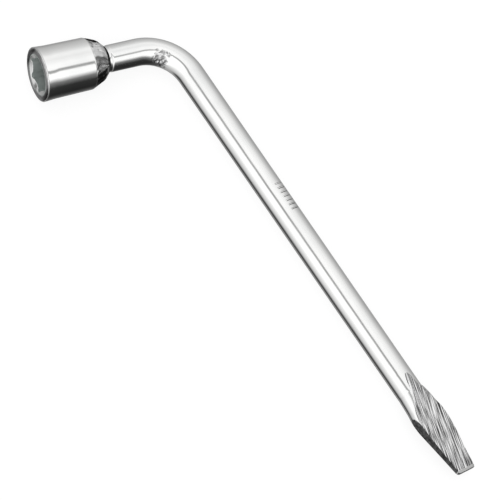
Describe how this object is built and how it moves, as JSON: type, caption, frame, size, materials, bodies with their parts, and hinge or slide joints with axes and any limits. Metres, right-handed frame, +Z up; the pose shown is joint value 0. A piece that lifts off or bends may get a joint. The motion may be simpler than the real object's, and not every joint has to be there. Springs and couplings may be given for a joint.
{
  "type": "lug wrench",
  "caption": "L-shaped lug wrench: a bent round chromed bar with a hexagon socket welded to its short arm and a flat ground pry tip on the handle.",
  "frame": {"origin": "the middle of the wrench's footprint, on the table it lies on", "axes": "+Z up from the table; the handle lies near the Y axis with its pry tip towards -Y; the socket opens towards -X and a little up"},
  "size_m": [0.1708, 0.3108, 0.0355],
  "materials": {
    "bar_chrome": "bright chrome plate over steel, with the pry tip left as bare ground steel",
    "socket_chrome": "bright chrome plate outside, dull grey-green bare steel in the hexagon",
    "weld_chrome": "rippled weld metal, plated over"
  },
  "bodies": {
    "root": {"handle_bar": "bar_chrome", "hex_socket": "socket_chrome", "weld_bead": "weld_chrome"}
  },
  "joints": []
}
